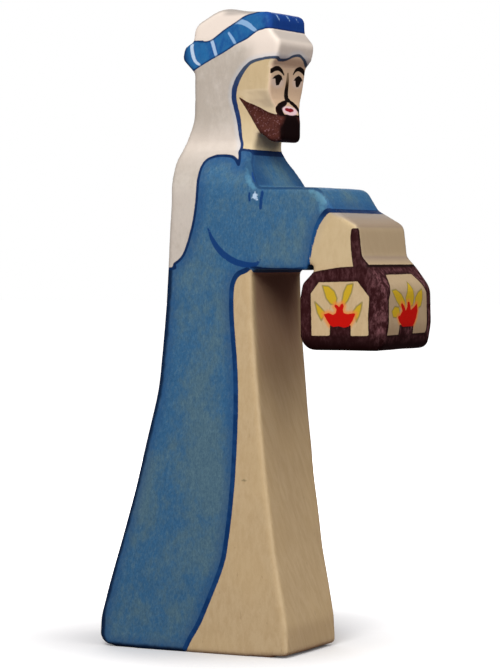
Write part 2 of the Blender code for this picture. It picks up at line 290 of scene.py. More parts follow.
def strokeField(places, points, widths=1.0):
    # distance to a painted stroke's edge, negative under the paint
    path, along = smoothPath(points, widths)
    field = np.full(len(places), farAway)
    chosen = near(places, path)
    p = places[chosen]
    best = np.full(len(p), farAway)
    for a, b, wa, wb in zip(path, path[1:], along, along[1:]):
        step = b - a
        t = np.clip(((p - a) @ step) / max(step @ step, 1e-9), 0, 1)
        gap = np.hypot(*(p - a - t[:, None] * step).T) - (wa + (wb - wa) * t) / 2
        best = np.minimum(best, gap)
    field[chosen] = best
    return field


def regionField(places, outline):
    # distance to a closed outline, negative inside it
    corners = np.array(outline, float)
    inside = np.zeros(len(places), bool)
    best = np.full(len(places), farAway)
    x, z = places.T
    for a, b in zip(corners, np.roll(corners, -1, 0)):
        crosses = (a[1] > z) != (b[1] > z)
        if a[1] != b[1]:
            inside ^= crosses & (x < (b[0] - a[0]) * (z - a[1]) / (b[1] - a[1]) + a[0])
        step = b - a
        t = np.clip(((places - a) @ step) / max(step @ step, 1e-9), 0, 1)
        best = np.minimum(best, np.hypot(*(places - a - t[:, None] * step).T))
    return np.where(inside, -best, best)


def ovalField(places, middle, radii):
    offset = (places - np.array(middle)) / np.array(radii)
    return (np.hypot(*offset.T) - 1) * min(radii)


def strokesField(places, strokes):
    return np.minimum.reduce([strokeField(places, path, widths) for path, widths in strokes])


def regionsField(places, outlines):
    return np.minimum.reduce([regionField(places, outline) for outline in outlines])


def ovalsField(places, ovals):
    return np.minimum.reduce([ovalField(places, middle, radii) for middle, radii in ovals])


def curve(points):
    return list(map(tuple, smoothPath(points, perSpan=4)[0]))


def selectOnly(obj):
    bpy.ops.object.select_all(action="DESELECT")
    obj.select_set(True)
    bpy.context.view_layer.objects.active = obj


def makeFigure():
    # the sawn board, from the CAD solid, with a mesh fine enough to paint on
    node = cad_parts["shepherd_figure"]
    figure = node.copy()
    figure.data = node.data.copy()
    figure.name = "paintedShepherd"
    bpy.context.scene.collection.objects.link(figure)
    figure.parent = None
    selectOnly(figure)
    bpy.ops.object.mode_set(mode="EDIT")
    bpy.ops.mesh.select_all(action="SELECT")
    bpy.ops.mesh.remove_doubles(threshold=1e-6)
    bpy.ops.object.mode_set(mode="OBJECT")
    figure.data.materials.clear()
    remesh = figure.modifiers.new("evenMesh", "REMESH")
    remesh.mode = "VOXEL"
    remesh.voxel_size = board["voxel"]
    bpy.ops.object.modifier_apply(modifier=remesh.name)
    wrap = figure.modifiers.new("backToForm", "SHRINKWRAP")
    wrap.target = node
    wrap.wrap_method = "NEAREST_SURFACEPOINT"
    bpy.ops.object.modifier_apply(modifier=wrap.name)
    smooth = figure.modifiers.new("sanded", "SMOOTH")
    smooth.factor = 0.5
    smooth.iterations = board["smoothing"]
    bpy.ops.object.modifier_apply(modifier=smooth.name)
    refineZones(figure)
    bpy.ops.object.shade_smooth()
    return figure


def refineZones(figure):
    # cuts the mesh finer where small strokes are painted
    mesh = figure.data
    centres = np.empty(len(mesh.polygons) * 3)
    mesh.polygons.foreach_get("center", centres)
    centres = centres.reshape(-1, 3)
    centres[:, 0] = np.abs(centres[:, 0])
    chosen = np.zeros(len(centres), bool)
    for low, high in board["fineZones"]:
        chosen |= ((centres >= low) & (centres < high)).all(1)
    for elements in (mesh.vertices, mesh.edges):
        elements.foreach_set("select", np.zeros(len(elements), bool))
    mesh.polygons.foreach_set("select", chosen)
    selectOnly(figure)
    bpy.ops.object.mode_set(mode="EDIT")
    bpy.ops.mesh.select_mode(type="FACE")
    bpy.ops.mesh.subdivide(number_cuts=1)
    bpy.ops.mesh.select_all(action="DESELECT")
    bpy.ops.object.mode_set(mode="OBJECT")


def vertexArrays(mesh):
    count = len(mesh.vertices)
    places, normals = np.empty(count * 3), np.empty(count * 3)
    mesh.vertices.foreach_get("co", places)
    mesh.vertex_normals.foreach_get("vector", normals)
    return places.reshape(-1, 3), normals.reshape(-1, 3)


def sandFigure(figure):
    # slightly uneven sanding, and a truly flat underside
    mesh = figure.data
    places, normals = vertexArrays(mesh)
    x, y, z = (places * 1000).T
    wave = np.sin(0.31 * z + 0.2 * y) * np.sin(0.27 * y - 0.23 * x + 1.0)
    wave += 0.6 * np.sin(0.55 * x + 0.4 * z + 2.0)
    moved = places + normals * (wave * board["sanding"])[:, None]
    bottom = float(cadBox[0][2])
    flat = places[:, 2] < bottom + board["footDepth"]
    moved[flat, 2] = np.minimum(moved[flat, 2], bottom + board["footRise"])
    moved[:, 2] = np.maximum(moved[:, 2], bottom)
    mesh.vertices.foreach_set("co", moved.ravel())
    mesh.update()


def rise(values, low, high):
    # a soft step from nothing to full
    t = np.clip((values - low) / (high - low), 0, 1)
    return t * t * (3 - 2 * t)


def paintFigure(figure):
    # every painted shape becomes a distance in millimetres, kept on the mesh
    mesh = figure.data
    places, normals = vertexArrays(mesh)
    across = places[:, 0] * 1000
    forward = -places[:, 1] * 1000 - board["zero"][0]
    height = places[:, 2] * 1000 - board["zero"][1]
    side = np.stack([forward, height], 1)
    front = np.stack([across, height], 1)
    facingFront = rise(-normals[:, 1], *board["frontTurn"])
    facingBack = rise(normals[:, 1], *board["frontTurn"])
    facingSide = rise(np.abs(normals[:, 0]), *board["sideTurn"])
    ahead = rise(forward, *face["ahead"])
    headFront = facingFront * ahead * (height > face["low"])
    none = np.full(len(places), farAway)

    def blend(a, b, share):
        return a + (b - a) * share

    def sideOnly(field):
        return blend(none, field, facingSide)

    def save(name, field):
        attribute = mesh.attributes.new(name, "FLOAT", "POINT")
        attribute.data.foreach_set("value", np.clip(field, -farAway, farAway).astype(np.float32))

    # coat
    shoulder = curve(coat["shoulder"])
    outline = [coat["behind"][0]] + shoulder + curve(coat["collar"]) + [coat["overHand"][0]]
    outline += curve(coat["cuff"]) + coat["underSleeve"] + curve(coat["opening"]) + coat["below"]
    save("coat", regionField(side, outline))
    save("coatLine", np.minimum.reduce([
        strokeField(side, coat["behind"] + coat["shoulder"], coat["shoulderWidth"]),
        strokeField(side, coat["collar"], coat["collarWidths"]),
        strokeField(side, coat["overHand"] + coat["cuff"], coat["cuffWidths"]),
        strokeField(side, coat["opening"][1:], coat["openingWidth"]),
        sideOnly(strokeField(side, coat["underArm"], coat["underArmWidths"])),
    ]))
    save("fold", sideOnly(strokesField(side, coat["folds"])))
    save("chip", sideOnly(ovalField(side, *coat["chip"])))
    # painted highlights on the chest's edge and the sleeve's corner
    save("paintedHighlight", sideOnly(strokesField(side, coat["lights"])))
    save("pale", ovalField(side, *coat["pale"]))
    save("knot", sideOnly(ovalField(side, *board["knot"])))
    save("rim", boardProfile(side, normals))

    # head-cloth, its edge line and the band
    edge = curve(headCloth["edge"])
    outline = [coat["behind"][0]] + shoulder + [headCloth["notch"]] + edge[::-1] + headCloth["above"]
    frontOutline = curve(headCloth["scallops"]) + headCloth["frontAbove"]
    save("cloth", blend(regionField(side, outline), regionField(front, frontOutline), headFront))
    sideEdge = strokeField(side, headCloth["edge"], headCloth["edgeWidths"])
    frontEdge = strokeField(front, headCloth["scallops"], headCloth["scallopWidth"])
    save("clothEdge", blend(sideEdge, frontEdge, headFront))
    save("band", regionField(side, curve(headCloth["bandBottom"]) + curve(headCloth["bandTop"])[::-1]))
    stripes = sideOnly(strokesField(side, headCloth["stripes"]))
    stripes = blend(stripes, strokesField(front, headCloth["frontStripes"]), headFront)
    save("stripe", blend(stripes, strokesField(front, headCloth["backStripes"]), facingBack))

    # face
    onFace = {
        "eyePale": ovalsField(front, face["eyePale"]),
        "ink": np.minimum(strokesField(front, face["brows"]), regionsField(front, face["eyes"])),
        "nose": strokeField(front, face["nose"], face["noseWidths"]),
        "mouth": ovalField(front, *face["mouth"]),
        "lips": ovalsField(front, face["lips"]),
    }
    for name, field in onFace.items():
        save(name, blend(none, field, headFront))
    outline = curve(face["beardTop"]) + face["beardAhead"] + curve(face["beardLow"])[::-1]
    frontBeard = regionField(front, curve(face["beardFront"]) + face["beardBelow"])
    frontBeard = np.minimum(frontBeard, regionsField(front, face["moustache"]))
    chin = facingFront * ahead * (height > face["chinLow"])
    save("beard", blend(regionField(side, outline), frontBeard, chin))

    # lantern
    low = height < lantern["top"]
    lanternFront = facingFront * (forward > lantern["ahead"]) * low
    body = regionField(side, curve(lantern["frameTop"]) + lantern["below"])
    sidePane = np.maximum(regionField(side, lantern["pane"]), -regionField(side, lantern["stand"]))
    frontPane = np.maximum(regionField(front, lantern["frontPane"]),
                           -regionField(front, lantern["frontStand"]))
    pane = blend(sideOnly(sidePane), frontPane, lanternFront)
    handle = regionField(side, curve(lantern["handle"]) + lantern["handleAhead"])
    handle = np.maximum(handle, lantern["handleWrap"] - np.abs(across))
    save("frame", np.minimum(np.maximum(body, -pane), handle))
    red = sideOnly(regionField(side, lantern["red"]))
    red = blend(red, regionField(front, lantern["frontRed"]), lanternFront)
    save("flameRed", np.where(low, red, farAway))
    yellow = sideOnly(regionsField(side, lantern["yellow"]))
    yellow = blend(yellow, regionsField(front, lantern["frontYellow"]), lanternFront)
    save("flameYellow", np.where(low, yellow, farAway))


def boardProfile(side, normals):
    # how far a place on the side faces lies inside the coat's back edge and hem
    heights = np.arange(0, board["robeTop"], board["profileStep"])
    flat = np.abs(normals[:, 0]) > board["flatShare"]
    reach = 0.6 * board["profileStep"]
    back = np.array([side[flat & (np.abs(side[:, 1] - h) < reach), 0].min() for h in heights])
    fromBack = side[:, 0] - np.interp(side[:, 1], heights, back)
    inset = np.minimum(fromBack * board["backSlope"], side[:, 1] + board["hemInset"])
    return np.where(side[:, 1] < board["lineTop"], inset, farAway)


class Nodes:
    # short ways to add shader nodes to one tree
    def __init__(self, tree):
        self.tree = tree
        self.made = 0

    def add(self, kind, **settings):
        node = self.tree.nodes.new(kind)
        node.location = (220 * (self.made % 12), -260 * (self.made // 12))
        self.made += 1
        for name, value in settings.items():
            setattr(node, name, value)
        return node

    def feed(self, socket, value):
        if isinstance(value, bpy.types.NodeSocket):
            self.tree.links.new(value, socket)
        elif isinstance(value, tuple) and len(value) == 3 and socket.type == "RGBA":
            socket.default_value = (*value, 1.0)
        else:
            socket.default_value = value

    def math(self, operation, a, b=0.0, c=0.0):
        node = self.add("ShaderNodeMath", operation=operation)
        for socket, value in zip(node.inputs, (a, b, c)):
            self.feed(socket, value)
        return node.outputs[0]

    def times(self, *values):
        product = values[0]
        for value in values[1:]:
            product = self.math("MULTIPLY", product, value)
        return product

    def mix(self, share, a, b):
        node = self.add("ShaderNodeMix", data_type="RGBA", blend_type="MIX")
        self.feed(node.inputs[0], share)
        self.feed(node.inputs[6], a)
        self.feed(node.inputs[7], b)
        return node.outputs[2]

    def ramp(self, value, low, high, toLow=0.0, toHigh=1.0):
        node = self.add("ShaderNodeMapRange", interpolation_type="SMOOTHSTEP")
        for socket, number in zip(node.inputs, (value, low, high, toLow, toHigh)):
            self.feed(socket, number)
        return node.outputs[0]

    def noise(self, vector, scale, detail=2.0, roughness=0.5, distortion=0.0):
        node = self.add("ShaderNodeTexNoise")
        for name, value in (("Vector", vector), ("Scale", scale), ("Detail", detail),
                            ("Roughness", roughness), ("Distortion", distortion)):
            self.feed(node.inputs[name], value)
        return node.outputs["Fac"]

    def stretch(self, vector, scales, turn=(0.0, 0.0, 0.0)):
        node = self.add("ShaderNodeMapping", vector_type="TEXTURE")
        self.feed(node.inputs["Vector"], vector)
        node.inputs["Scale"].default_value = [1 / scale for scale in scales]
        node.inputs["Rotation"].default_value = turn
        return node.outputs[0]

    def group(self, tree, outputs, **inputs):
        node = self.add("ShaderNodeGroup", node_tree=tree)
        for name, value in inputs.items():
            self.feed(node.inputs[name], value)
        return [node.outputs[name] for name in outputs]


def newGroup(name, inputs, outputs):
    tree = bpy.data.node_groups.new(name, "ShaderNodeTree")
    for label, kind, value in inputs:
        socket = tree.interface.new_socket(label, in_out="INPUT", socket_type=kind)
        if value is not None:
            socket.default_value = value
    for label, kind in outputs:
        tree.interface.new_socket(label, in_out="OUTPUT", socket_type=kind)
    nodes = Nodes(tree)
    start = nodes.add("NodeGroupInput")
    end = nodes.add("NodeGroupOutput")
    return tree, nodes, start, end


def brushEdgeGroup():
    # turns a painted shape's distance into a mask with the slight wobble of a brush
    tree, n, start, end = newGroup(
        "brushEdge",
        (("Distance", "NodeSocketFloat", 0.0), ("Place", "NodeSocketVector", None),
         ("Wobble", "NodeSocketFloat", 0.12), ("Softness", "NodeSocketFloat", 0.08)),
        (("Mask", "NodeSocketFloat"), ("Rim", "NodeSocketFloat")),
    )
    jitter = n.math("SUBTRACT", n.noise(start.outputs["Place"], 1.1), 0.5)
    distance = n.math("MULTIPLY_ADD", jitter, start.outputs["Wobble"], start.outputs["Distance"])
    soft = start.outputs["Softness"]
    n.feed(end.inputs["Mask"], n.ramp(distance, n.times(soft, -1.0), soft, 1.0, 0.0))
    n.feed(end.inputs["Rim"], n.ramp(distance, -0.9, 0.0))
    return tree


mapleColours = {
    "pale": (0.620, 0.475, 0.275),
    "dark": (0.515, 0.370, 0.195),
    "warm": (0.610, 0.450, 0.235),
    "fleck": (0.340, 0.220, 0.120),
}


def mapleGroup():
    # pale maple with fine upright grain, small flecks and soft warm patches
    tree, n, start, end = newGroup(
        "sandedMaple",
        (("Place", "NodeSocketVector", None),
         ("Pale", "NodeSocketColor", (*mapleColours["pale"], 1)),
         ("Dark", "NodeSocketColor", (*mapleColours["dark"], 1))),
        (("Color", "NodeSocketColor"), ("Grain", "NodeSocketFloat")),
    )
    place = start.outputs["Place"]
    streaks = n.noise(n.stretch(place, (0.9, 0.9, 0.045), (0.03, -0.40, 0.0)), 1.0, 4.0, 0.62, 0.3)
    hairs = n.noise(n.stretch(place, (4.2, 4.2, 0.22), (0.03, -0.42, 0.0)), 1.0, 3.0, 0.6)
    patches = n.noise(place, 0.075)
    share = n.math("ADD", n.ramp(streaks, 0.34, 0.68, 0.0, 0.50), n.ramp(hairs, 0.35, 0.75, 0.0, 0.25))
    wood = n.mix(share, start.outputs["Pale"], start.outputs["Dark"])
    wood = n.mix(n.ramp(patches, 0.4, 0.66, 0.0, 0.3), wood, mapleColours["warm"])
    flecks = n.noise(n.stretch(place, (1.4, 1.4, 0.5)), 1.0, 1.0)
    wood = n.mix(n.ramp(flecks, 0.72, 0.80, 0.0, 0.35), wood, mapleColours["fleck"])
    n.feed(end.inputs["Color"], wood)
    n.feed(end.inputs["Grain"], share)
    return tree


washSpecks = {"dark": (0.012, 0.055, 0.125), "light": (0.190, 0.330, 0.380)}


def washGroup():
    # thin paint that pools in soft blotches and lets pores show as specks
    tree, n, start, end = newGroup(
        "mottledWash",
        (("Place", "NodeSocketVector", None), ("Thin", "NodeSocketColor", (0.1, 0.2, 0.25, 1)),
         ("Full", "NodeSocketColor", (0.05, 0.12, 0.25, 1)), ("Bias", "NodeSocketFloat", 0.0),
         ("Speck", "NodeSocketFloat", 0.2)),
        (("Color", "NodeSocketColor"),),
    )
    place = start.outputs["Place"]
    broad = n.noise(n.stretch(place, (0.10, 0.10, 0.07), (0.3, 0.4, 0.2)), 1.0, 3.0, 0.6, 0.6)
    fine = n.noise(n.stretch(place, (0.75, 0.75, 0.5)), 1.0, 3.0, 0.65)
    pool = n.math("ADD", n.times(broad, 0.62), n.times(fine, 0.38))
    pool = n.ramp(n.math("ADD", pool, start.outputs["Bias"]), 0.37, 0.63)
    colour = n.mix(pool, start.outputs["Thin"], start.outputs["Full"])
    pores = n.noise(n.stretch(place, (2.4, 2.4, 1.2)), 1.0, 4.0, 0.75, 0.4)
    pores = n.times(n.ramp(pores, 0.38, 0.66), start.outputs["Speck"])
    colour = n.mix(pores, colour, washSpecks["dark"])
    bare = n.noise(n.stretch(place, (1.5, 1.5, 0.8), (0.5, 0.1, 0.3)), 1.0, 4.0, 0.75, 0.4)
    bare = n.times(n.ramp(bare, 0.48, 0.76), start.outputs["Speck"])
    n.feed(end.inputs["Color"], n.mix(bare, colour, washSpecks["light"]))
    return tree


edges = {               # how far each painted shape's edge wobbles and how soft it is, in mm
    "knot": (0.50, 0.15),
    "coat": (0.10, 0.07),
    "chip": (1.50, 0.15),
    "cloth": (0.06, 0.07),
    "beard": (0.10, 0.07),
    "eyePale": (0.30, 0.40),
    "mouth": (0.15, 0.12),
    "lips": (0.20, 0.08),
    "nose": (0.08, 0.06),
    "ink": (0.06, 0.06),
    "band": (0.10, 0.07),
    "stripe": (0.16, 0.10),
    "clothEdge": (0.14, 0.08),
    "fold": (0.16, 0.10),
    "coatLine": (0.14, 0.08),
    "frame": (0.16, 0.08),
    "flameYellow": (0.10, 0.12),
    "flameRed": (0.08, 0.08),
}


class Surface(Nodes):
    # the nodes of the figure's material: where each point lies, where it faces and what is painted there
    def __init__(self, tree):
        super().__init__(tree)
        brush, self.maple, self.wash = brushEdgeGroup(), mapleGroup(), washGroup()
        coords = self.add("ShaderNodeTexCoord")
        scaled = self.add("ShaderNodeVectorMath", operation="SCALE")
        self.feed(scaled.inputs[0], coords.outputs["Object"])
        scaled.inputs["Scale"].default_value = 1000.0       # metres to millimetres
        self.place = scaled.outputs[0]
        x, y, z = self.split(self.place)
        geometry = self.add("ShaderNodeNewGeometry")
        facing = self.add("ShaderNodeVectorTransform", vector_type="NORMAL",
                          convert_from="WORLD", convert_to="OBJECT")
        self.feed(facing.inputs[0], geometry.outputs["Normal"])
        facingX, facingY, facingZ = self.split(facing.outputs[0])
        self.measures = {
            "across": self.math("ABSOLUTE", x),
            "forward": self.math("SUBTRACT", self.times(y, -1.0), board["zero"][0]),
            "height": self.math("SUBTRACT", z, board["zero"][1]),
            "facingSide": self.math("ABSOLUTE", facingX),
            "facingFront": self.times(facingY, -1.0),
            "facingBack": facingY,
            "facingUp": facingZ,
        }
        self.front = self.zone(("facingFront", *board["frontShare"]))
        self.sideways = self.zone(("facingSide", *board["sideShare"]))
        self.masks, self.rims = {}, {}
        for name, (wobble, softness) in edges.items():
            self.masks[name], self.rims[name] = self.group(
                brush, ("Mask", "Rim"), Distance=self.measure(name), Place=self.place,
                Wobble=wobble, Softness=softness)

    def split(self, vector):
        node = self.add("ShaderNodeSeparateXYZ")
        self.feed(node.inputs[0], vector)
        return node.outputs[0], node.outputs[1], node.outputs[2]

    def measure(self, name):
        # a place or direction, or else the distance to a painted shape's edge
        if name in self.measures:
            return self.measures[name]
        return self.add("ShaderNodeAttribute", attribute_name=name).outputs["Fac"]

    def unpainted(self, name):
        return self.math("SUBTRACT", 1.0, self.masks[name])

    def washed(self, look):
        return self.group(self.wash, ("Color",), Place=self.place, Thin=look["thin"], Full=look["full"],
                          Bias=self.zone(look["drift"]), Speck=look["specks"])[0]

    def zone(self, *zones):
        return self.times(*[self.ramp(self.measure(name), *bounds) for name, *bounds in zones])

    def tint(self, under, look, *masks):
        # lays a tint's colour where all its zones and the masks hold
        strength, colour, *zones = look
        return self.mix(self.times(*masks, *[self.zone(one) for one in zones], strength), under, colour)


# In the looks below, a zone is a measure's name with where it counts for nothing and where in
# full. A tint is its strength and colour, and any zones that hold it in.

woodLook = {
    "pale": (0.40, (0.640, 0.520, 0.305), ("height", 83.0, 86.0)),
    "neck": (0.36, (0.820, 0.700, 0.460), ("height", 118.0, 112.5), ("height", 107.0, 108.5)),
    "hand": (("height", 84.0, 86.0), ("height", 104.0, 102.0, 0.1, 1.0)),
    "head": ("height", 112.0, 115.0),
    # painted highlight: lighter wood on the rounded corners, more on the hand and head, and on the cheek
    # where it faces down
    "corner": (("facingSide", 0.30, 0.55), ("facingSide", 0.97, 0.80)),
    "cornerHighlight": (0.12, 0.10, 0.10),       # everywhere, and more on the hand and on the head
    "cheek": ("facingUp", -0.06, -0.22),
    "cheekHighlight": 0.5,
    "wearAndHighlight": (1.00, (0.840, 0.700, 0.470)),
    # painted shade: the hand darker where it faces up
    "handSlope": ("facingUp", 0.15, 0.60),
    "handFlat": ("facingUp", 0.30, 0.75),
    "handTopShade": (0.88, (0.310, 0.238, 0.180)),
    # painted shade on the fronts of the lower hand and the lantern
    "handFrontShade": (0.46, (0.350, 0.260, 0.180), ("forward", 24.0, 28.0), ("height", 96.0, 92.0)),
    # painted shadow under the arm, on the robe's front
    "underArm": (0.55, (0.350, 0.170, 0.130), ("height", 52.0, 80.0), ("height", 86.0, 84.5),
                 ("forward", 16.0, 14.0), ("across", 11.4, 9.5)),
    "knot": (0.60, (0.170, 0.150, 0.080)),
}


def woodColour(s):
    look = woodLook
    wood, grain = s.group(s.maple, ("Color", "Grain"), Place=s.place)
    colour = s.tint(s.tint(wood, look["pale"]), look["neck"])
    hand, head = s.zone(*look["hand"]), s.zone(look["head"])
    # painted highlight on the rounded corners, and on the cheek where it faces down
    everywhere, onHand, onHead = look["cornerHighlight"]
    wearAndHighlightShare = s.math("MULTIPLY_ADD", head, onHead, s.math("MULTIPLY_ADD", hand, onHand, everywhere))
    wearAndHighlightShare = s.math("ADD", s.times(s.zone(*look["corner"]), wearAndHighlightShare),
                  s.times(s.zone(look["cheek"]), head, look["cheekHighlight"]))
    colour = s.tint(colour, look["wearAndHighlight"], wearAndHighlightShare)
    # painted shade on the hand where it faces up
    top = s.math("MAXIMUM", s.times(s.zone(look["handSlope"]), s.front), s.zone(look["handFlat"]))
    colour = s.tint(colour, look["handTopShade"], top, hand)
    # painted shade on the hand's and lantern's fronts
    colour = s.tint(colour, look["handFrontShade"], s.front)
    # painted shadow under the arm
    colour = s.tint(colour, look["underArm"], s.front)
    return s.tint(colour, look["knot"], s.masks["knot"]), grain


coatLook = {
    "thin": (0.104, 0.200, 0.254),
    "full": (0.048, 0.158, 0.308),
    "drift": ("pale", -4.0, 3.0, -0.09, 0.03),      # greyer inside the pale oval
    "specks": 0.36,
    "grain": (0.36, (0.022, 0.080, 0.170)),
    "besideLine": ("coat", -3.6, -0.2),
    "besideBack": ("rim", 4.2, 1.0),
    "deeper": (0.50, (0.016, 0.070, 0.215)),
    "brim": (0.35, (0.020, 0.080, 0.220)),
    # painted shade on the chest's front
    "chest": (0.75, (0.014, 0.060, 0.170), ("height", 99.5, 101.5), ("forward", 14.0, 12.0),
              ("across", 1.0, 11.0)),
    "backLine": (0.92, (0.004, 0.015, 0.050), ("facingSide", 0.05, 0.40)),
    "backLineReach": (0.6, 2.05, 1.25),     # how uneven it is, then from nothing to full
    # painted highlight on the chest's edge and the sleeve's corner
    "paintedHighlight": (0.42, (0.145, 0.385, 0.540)),
    "paintedHighlightReach": (2.6, 1.7, 0.6),
    # painted shade along the sleeve's rounded top edge
    "sleeveEdgeShade": (0.75, (0.010, 0.040, 0.110), ("facingSide", 0.12, 0.40), ("facingSide", 0.96, 0.80),
                   ("height", 98.8, 100.2), ("forward", -1.0, 1.5)),
    "chip": (0.90, (0.560, 0.740, 0.920)),
}


def paintCoat(s, colour, grain):
    look = coatLook
    mask = s.masks["coat"]
    stain = s.tint(s.washed(look), look["grain"], grain)
    deeper = s.math("MAXIMUM", s.zone(look["besideLine"]), s.zone(look["besideBack"]))
    stain = s.tint(stain, look["deeper"], deeper)
    stain = s.tint(stain, look["brim"], s.rims["coat"])
    # painted shade on the chest's front
    stain = s.tint(stain, look["chest"], s.front)
    colour = s.mix(mask, colour, stain)
    uneven, *reach = look["backLineReach"]
    backLine = s.math("MULTIPLY_ADD", s.noise(s.place, 0.5), uneven, s.measure("rim"))
    colour = s.tint(colour, look["backLine"], s.ramp(backLine, *reach), mask)
    # painted highlight on the chest's edge and the sleeve's corner
    uneven, *reach = look["paintedHighlightReach"]
    paintedHighlight = s.math("MULTIPLY_ADD", s.noise(s.place, 0.9, 3.0, 0.6), uneven, s.measure("paintedHighlight"))
    colour = s.tint(colour, look["paintedHighlight"], s.ramp(paintedHighlight, *reach), mask)
    # painted shade along the sleeve's rounded top edge
    colour = s.tint(colour, look["sleeveEdgeShade"], mask)
    return s.tint(colour, look["chip"], s.masks["chip"])


clothLook = {
    "thin": (0.520, 0.470, 0.405),
    "full": (0.640, 0.590, 0.525),
    "drift": ("height", 84.0, 130.0, 0.06, -0.04),
    "specks": 0.05,
    "crown": (0.95, (0.920, 0.820, 0.725), ("height", 130.5, 134.5)),
    # painted highlight at the head-cloth's front corner under the band
    "browHighlight": (1.00, (0.920, 0.820, 0.725), ("forward", -2.0, 4.0), ("height", 126.0, 130.5)),
    "browHighlightShare": (0.35, 0.45),              # everywhere, and more on the sides
    # painted highlight on the head-cloth where the shoulder slopes up
    "shoulder": (0.55, (0.920, 0.820, 0.725), ("height", 103.0, 110.0), ("height", 117.0, 110.0)),
    "besideLine": (0.35, (0.560, 0.660, 0.800), ("clothEdge", 1.3, 0.0)),
    # painted shade where the head-cloth faces up
    "top": (0.72, (0.400, 0.360, 0.325), ("facingUp", 0.20, 0.75)),
    # painted shade on the crown's front top, above the band
    "crownFrontShade": (0.60, (0.250, 0.235, 0.230), ("forward", -6.5, -4.0), ("height", 138.2, 139.2)),
    "cover": 0.93,
}


def paintCloth(s, colour):
    look = clothLook
    everywhere, onSides = look["browHighlightShare"]
    wash = s.tint(s.washed(look), look["crown"])
    # painted highlight at the head-cloth's front corner, more on the sides
    wash = s.tint(wash, look["browHighlight"], s.math("MULTIPLY_ADD", s.sideways, onSides, everywhere))
    # painted highlight on the shoulder's slope, painted shade where the cloth faces up and on the crown's
    # front top
    for name in ("shoulder", "besideLine", "top", "crownFrontShade"):
        wash = s.tint(wash, look[name])
    return s.mix(s.times(s.masks["cloth"], look["cover"]), colour, wash)


beardLook = {
    "side": (0.085, 0.024, 0.017),
    "dark": (1.00, (0.055, 0.013, 0.010)),
    "flecks": (0.75, (0.250, 0.120, 0.125)),
    "brim": (0.55, (0.040, 0.011, 0.007)),
    "front": (0.006, 0.001, 0.001),
    "chinHeight": 111.4,
    "sideReach": (-0.51, 5.3, 6.6),         # how the black front leans, then from nothing to full
    "faceReach": (0.95, 9.0, 7.0),
    "above": ("height", 116.5, 117.0),
    "ahead": ("forward", 3.0, 4.5),
}


def paintBeard(s, colour):
    look = beardLook
    beard = s.tint(look["side"], look["dark"], s.ramp(s.noise(s.place, 0.9, 3.0, 0.65), 0.35, 0.72))
    beard = s.tint(beard, look["flecks"], s.ramp(s.noise(s.place, 2.2, 2.0, 0.6), 0.55, 0.70))
    beard = s.tint(beard, look["brim"], s.rims["beard"])
    aboveChin = s.math("SUBTRACT", s.measure("height"), look["chinHeight"])
    lean, *reach = look["sideReach"]
    onSide = s.ramp(s.math("MULTIPLY_ADD", aboveChin, lean, s.measure("forward")), *reach)
    lean, *reach = look["faceReach"]
    onFace = s.ramp(s.math("MULTIPLY_ADD", aboveChin, lean, s.measure("across")), *reach)
    onFace = s.times(s.math("MAXIMUM", onFace, s.zone(look["above"])), s.zone(look["ahead"]), s.front)
    beard = s.mix(s.math("MAXIMUM", onFace, onSide), beard, look["front"])
    return s.mix(s.masks["beard"], colour, beard)


faceLook = {
    "flush": (0.42, (0.860, 0.570, 0.430), ("height", 112.0, 115.0)),
    "eyePale": (0.42, (0.780, 0.660, 0.620)),
    "mouth": (1.00, (0.880, 0.640, 0.660)),
    "lips": (1.00, (0.260, 0.010, 0.018)),
    "noseTop": (0.090, 0.045, 0.010),
    "noseThin": ("height", 125.9, 123.6, 0.65, 1.0),
    "noseDark": ("height", 125.5, 122.5),
    "ink": (0.008, 0.004, 0.003),
}


def paintFace(s, colour):
    look = faceLook
    colour = s.tint(colour, look["flush"], s.unpainted("cloth"), s.unpainted("beard"), s.front)
    for name in ("eyePale", "mouth", "lips"):
        colour = s.tint(colour, look[name], s.masks[name])
    noseColour = s.mix(s.zone(look["noseDark"]), look["noseTop"], look["ink"])
    colour = s.mix(s.times(s.masks["nose"], s.zone(look["noseThin"])), colour, noseColour)
    return s.mix(s.masks["ink"], colour, look["ink"])


bandLook = {
    "thin": (0.022, 0.150, 0.375),
    "full": (0.008, 0.050, 0.260),
    "drift": ("forward", 0.0, 6.0, -0.06, 0.12),
    "specks": 0.10,
    "front": (0.75, (0.008, 0.050, 0.260)),
    "stripePale": (0.600, 0.740, 0.900),
    "stripe": (0.300, 0.500, 0.760),
    "stripeZone": ("forward", -14.0, -2.0),
    "stripeCover": 0.88,
    "edge": (0.85, (0.004, 0.018, 0.090), ("band", -0.55, -0.10)),
    "back": (0.75, (0.004, 0.018, 0.090), ("forward", -13.6, -15.6)),
    "behind": (0.60, (0.006, 0.028, 0.140), ("facingBack", 0.15, 0.60)),
}


def paintBand(s, colour):
    look = bandLook
    band = s.tint(s.washed(look), look["front"], s.front)
    stripeColour = s.mix(s.zone(look["stripeZone"]), look["stripePale"], look["stripe"])
    band = s.mix(s.times(s.masks["stripe"], look["stripeCover"]), band, stripeColour)
    band = s.tint(s.tint(band, look["edge"]), look["back"])
    band = s.tint(band, look["behind"], s.unpainted("stripe"))
    return s.mix(s.masks["band"], colour, band)


